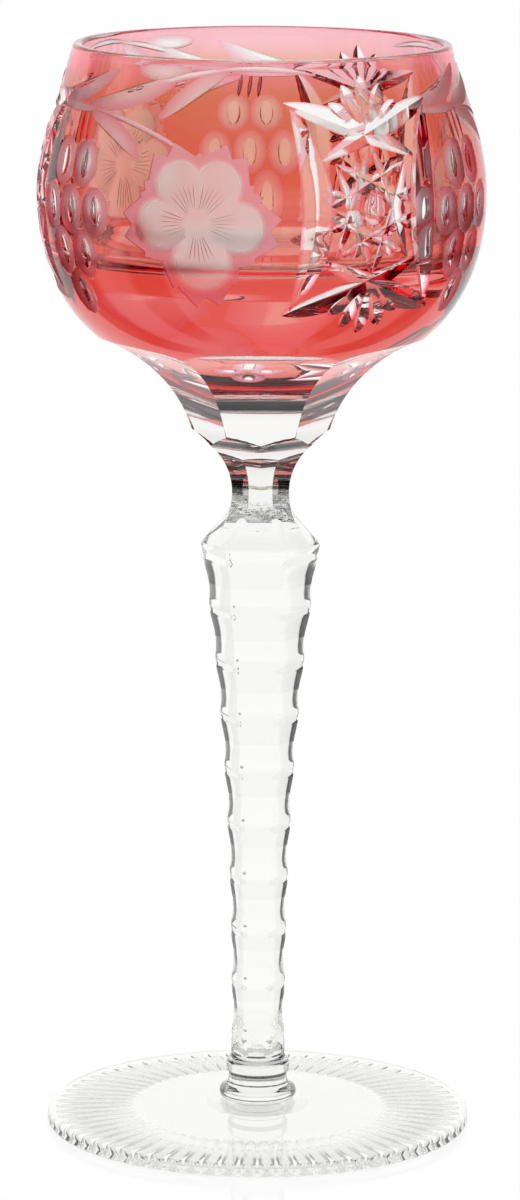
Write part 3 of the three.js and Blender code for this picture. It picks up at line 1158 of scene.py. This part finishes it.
class HOCK_OT_stage(bpy.types.Operator):
    """Sets the pale floor, the soft light all round and the camera"""

    bl_idname = "hock.stage"
    bl_label = "Stage"

    def execute(self, context):
        make_floor()
        make_world()
        make_camera(context.scene)
        return {"FINISHED"}


def light_round(tree, x, y, dark):
    """Even light from all round, but for two dark flags on each side of the glass."""
    turn, half, soft = math.radians(27.0), math.radians(10.5), 0.06
    wave = (y.math("ARCTAN2", x) * 2).math("COSINE")
    away = (wave - math.cos(2 * turn)).math("ABSOLUTE")
    edge = 2 * half * math.sin(2 * turn)
    return tree.ramp(away, edge - soft, edge + soft, dark, 1.0)


def make_floor():
    """A pale floor, white to the eye, that shows the flags and a soft shade only in the glass."""
    size, glow, paper, polish, gloss = 12.0, 0.95, 0.2, 0.2, 0.03
    flag, flag_near, flag_far = 0.05, 0.04, 0.08
    shade, shade_near, shade_far = 0.86, 0.03, 0.06
    deselect()
    bpy.ops.mesh.primitive_plane_add(size=size)
    floor = bpy.context.object
    floor.name = "studio_floor"
    material = bpy.data.materials.new("studio_floor")
    tree = Tree(material)
    path = tree.add("LightPath")
    x, y, _ = tree.split(tree.add("TexCoord").output("Object"))
    distance = (x * x + y * y).math("SQRT")
    close = tree.ramp(distance, flag_near, flag_far, 1.0, 0.0)
    sides = light_round(tree, x, y, flag).math("MAXIMUM", close)
    under = tree.ramp(distance, shade_near, shade_far, shade, 1.0)
    through = path.output("Is Glossy Ray").math("MAXIMUM", path.output("Is Transmission Ray"))
    seen = path.output("Is Camera Ray").math("MAXIMUM", through * sides * under)
    card = tree.add("BsdfDiffuse", {"Color": opaque((paper, paper, paper))})
    light = tree.add("Emission", {"Color": WHITE, "Strength": seen * glow})
    both = tree.add("AddShader", (card, light))
    shine = tree.add("BsdfGlossy", {"Color": WHITE, "Roughness": gloss})
    mixed = tree.add("MixShader", (polish, both, shine))
    tree.add("OutputMaterial", {"Surface": mixed})
    floor.data.materials.append(material)


def make_world():
    """White to the eye. As light it is white with dark flags, up to a ceiling that comes down in front."""
    low, high, ceiling = math.radians(54.0), math.radians(64.0), 0.02
    front, back, drop = -0.4, 0.75, math.radians(50.0)
    world = bpy.data.worlds.new("studio")
    bpy.context.scene.world = world
    tree = Tree(world)
    seen = tree.add("LightPath").output("Is Camera Ray")
    x, y, z = tree.split(tree.add("TexCoord").output("Generated"))
    rise = z.math("ARCSINE") + tree.ramp(y, front, back, drop, 0.0)
    light = light_round(tree, x, y, 0.0) * tree.ramp(rise, low, high, 1.0, ceiling)
    strength = light.math("MAXIMUM", seen)
    background = tree.add("Background", {"Color": WHITE, "Strength": strength})
    tree.add("OutputWorld", {"Surface": background})


def make_camera(scene):
    """A camera placed as the photograph's, from the ellipses of the rim and the foot."""
    distance, height, pitch, lean = 1.0223, 0.29964, 11.02, 0.27
    focal_pixels, image_pixels, sensor = 5556.0, 1200, 36.0
    data = bpy.data.cameras.new("camera")
    data.sensor_width = sensor
    data.lens = focal_pixels / image_pixels * sensor
    data.clip_start = 0.01
    data.clip_end = 50.0
    camera = bpy.data.objects.new("camera", data)
    scene.collection.objects.link(camera)
    tilt = Matrix.Rotation(math.radians(90 - pitch), 4, "X")
    roll = Matrix.Rotation(math.radians(lean), 4, "Z")
    camera.matrix_world = Matrix.Translation((0, -distance, height)) @ tilt @ roll
    scene.camera = camera
    scene.view_settings.view_transform = "Standard"
    scene.cycles.max_bounces = 32
    scene.cycles.transmission_bounces = 32
    scene.cycles.glossy_bounces = 8
    scene.cycles.transparent_max_bounces = 48


class HOCK_PT_panel(bpy.types.Panel):
    """The glass's sizes and its building steps"""

    bl_idname = "HOCK_PT_panel"
    bl_label = "Hock Glass"
    bl_space_type = "VIEW_3D"
    bl_region_type = "UI"
    bl_category = "Hock Glass"

    def draw(self, context):
        for operator in OPERATORS:
            self.layout.operator(operator.bl_idname)
        for name, group in SETTINGS.items():
            settings = getattr(context.scene, name)
            box = self.layout.box()
            for prop in group.__annotations__:
                box.prop(settings, prop)


OPERATORS = (
    HOCK_OT_casing,
    HOCK_OT_bowl,
    HOCK_OT_neck,
    HOCK_OT_stem,
    HOCK_OT_foot_wafer,
    HOCK_OT_foot,
    HOCK_OT_stage,
)


def register():
    for cls in (*SETTINGS.values(), *OPERATORS, HOCK_PT_panel):
        bpy.utils.register_class(cls)
    for name, group in SETTINGS.items():
        setattr(bpy.types.Scene, name, PointerProperty(type=group))


def unregister():
    for name in SETTINGS:
        delattr(bpy.types.Scene, name)
    for cls in (HOCK_PT_panel, *reversed(OPERATORS), *SETTINGS.values()):
        bpy.utils.unregister_class(cls)


def main():
    register()
    bpy.ops.hock.casing()
    bpy.ops.hock.bowl()
    bpy.ops.hock.neck()
    bpy.ops.hock.stem()
    bpy.ops.hock.foot_wafer()
    bpy.ops.hock.foot()
    bpy.ops.hock.stage()


if __name__ == "__main__":
    main()
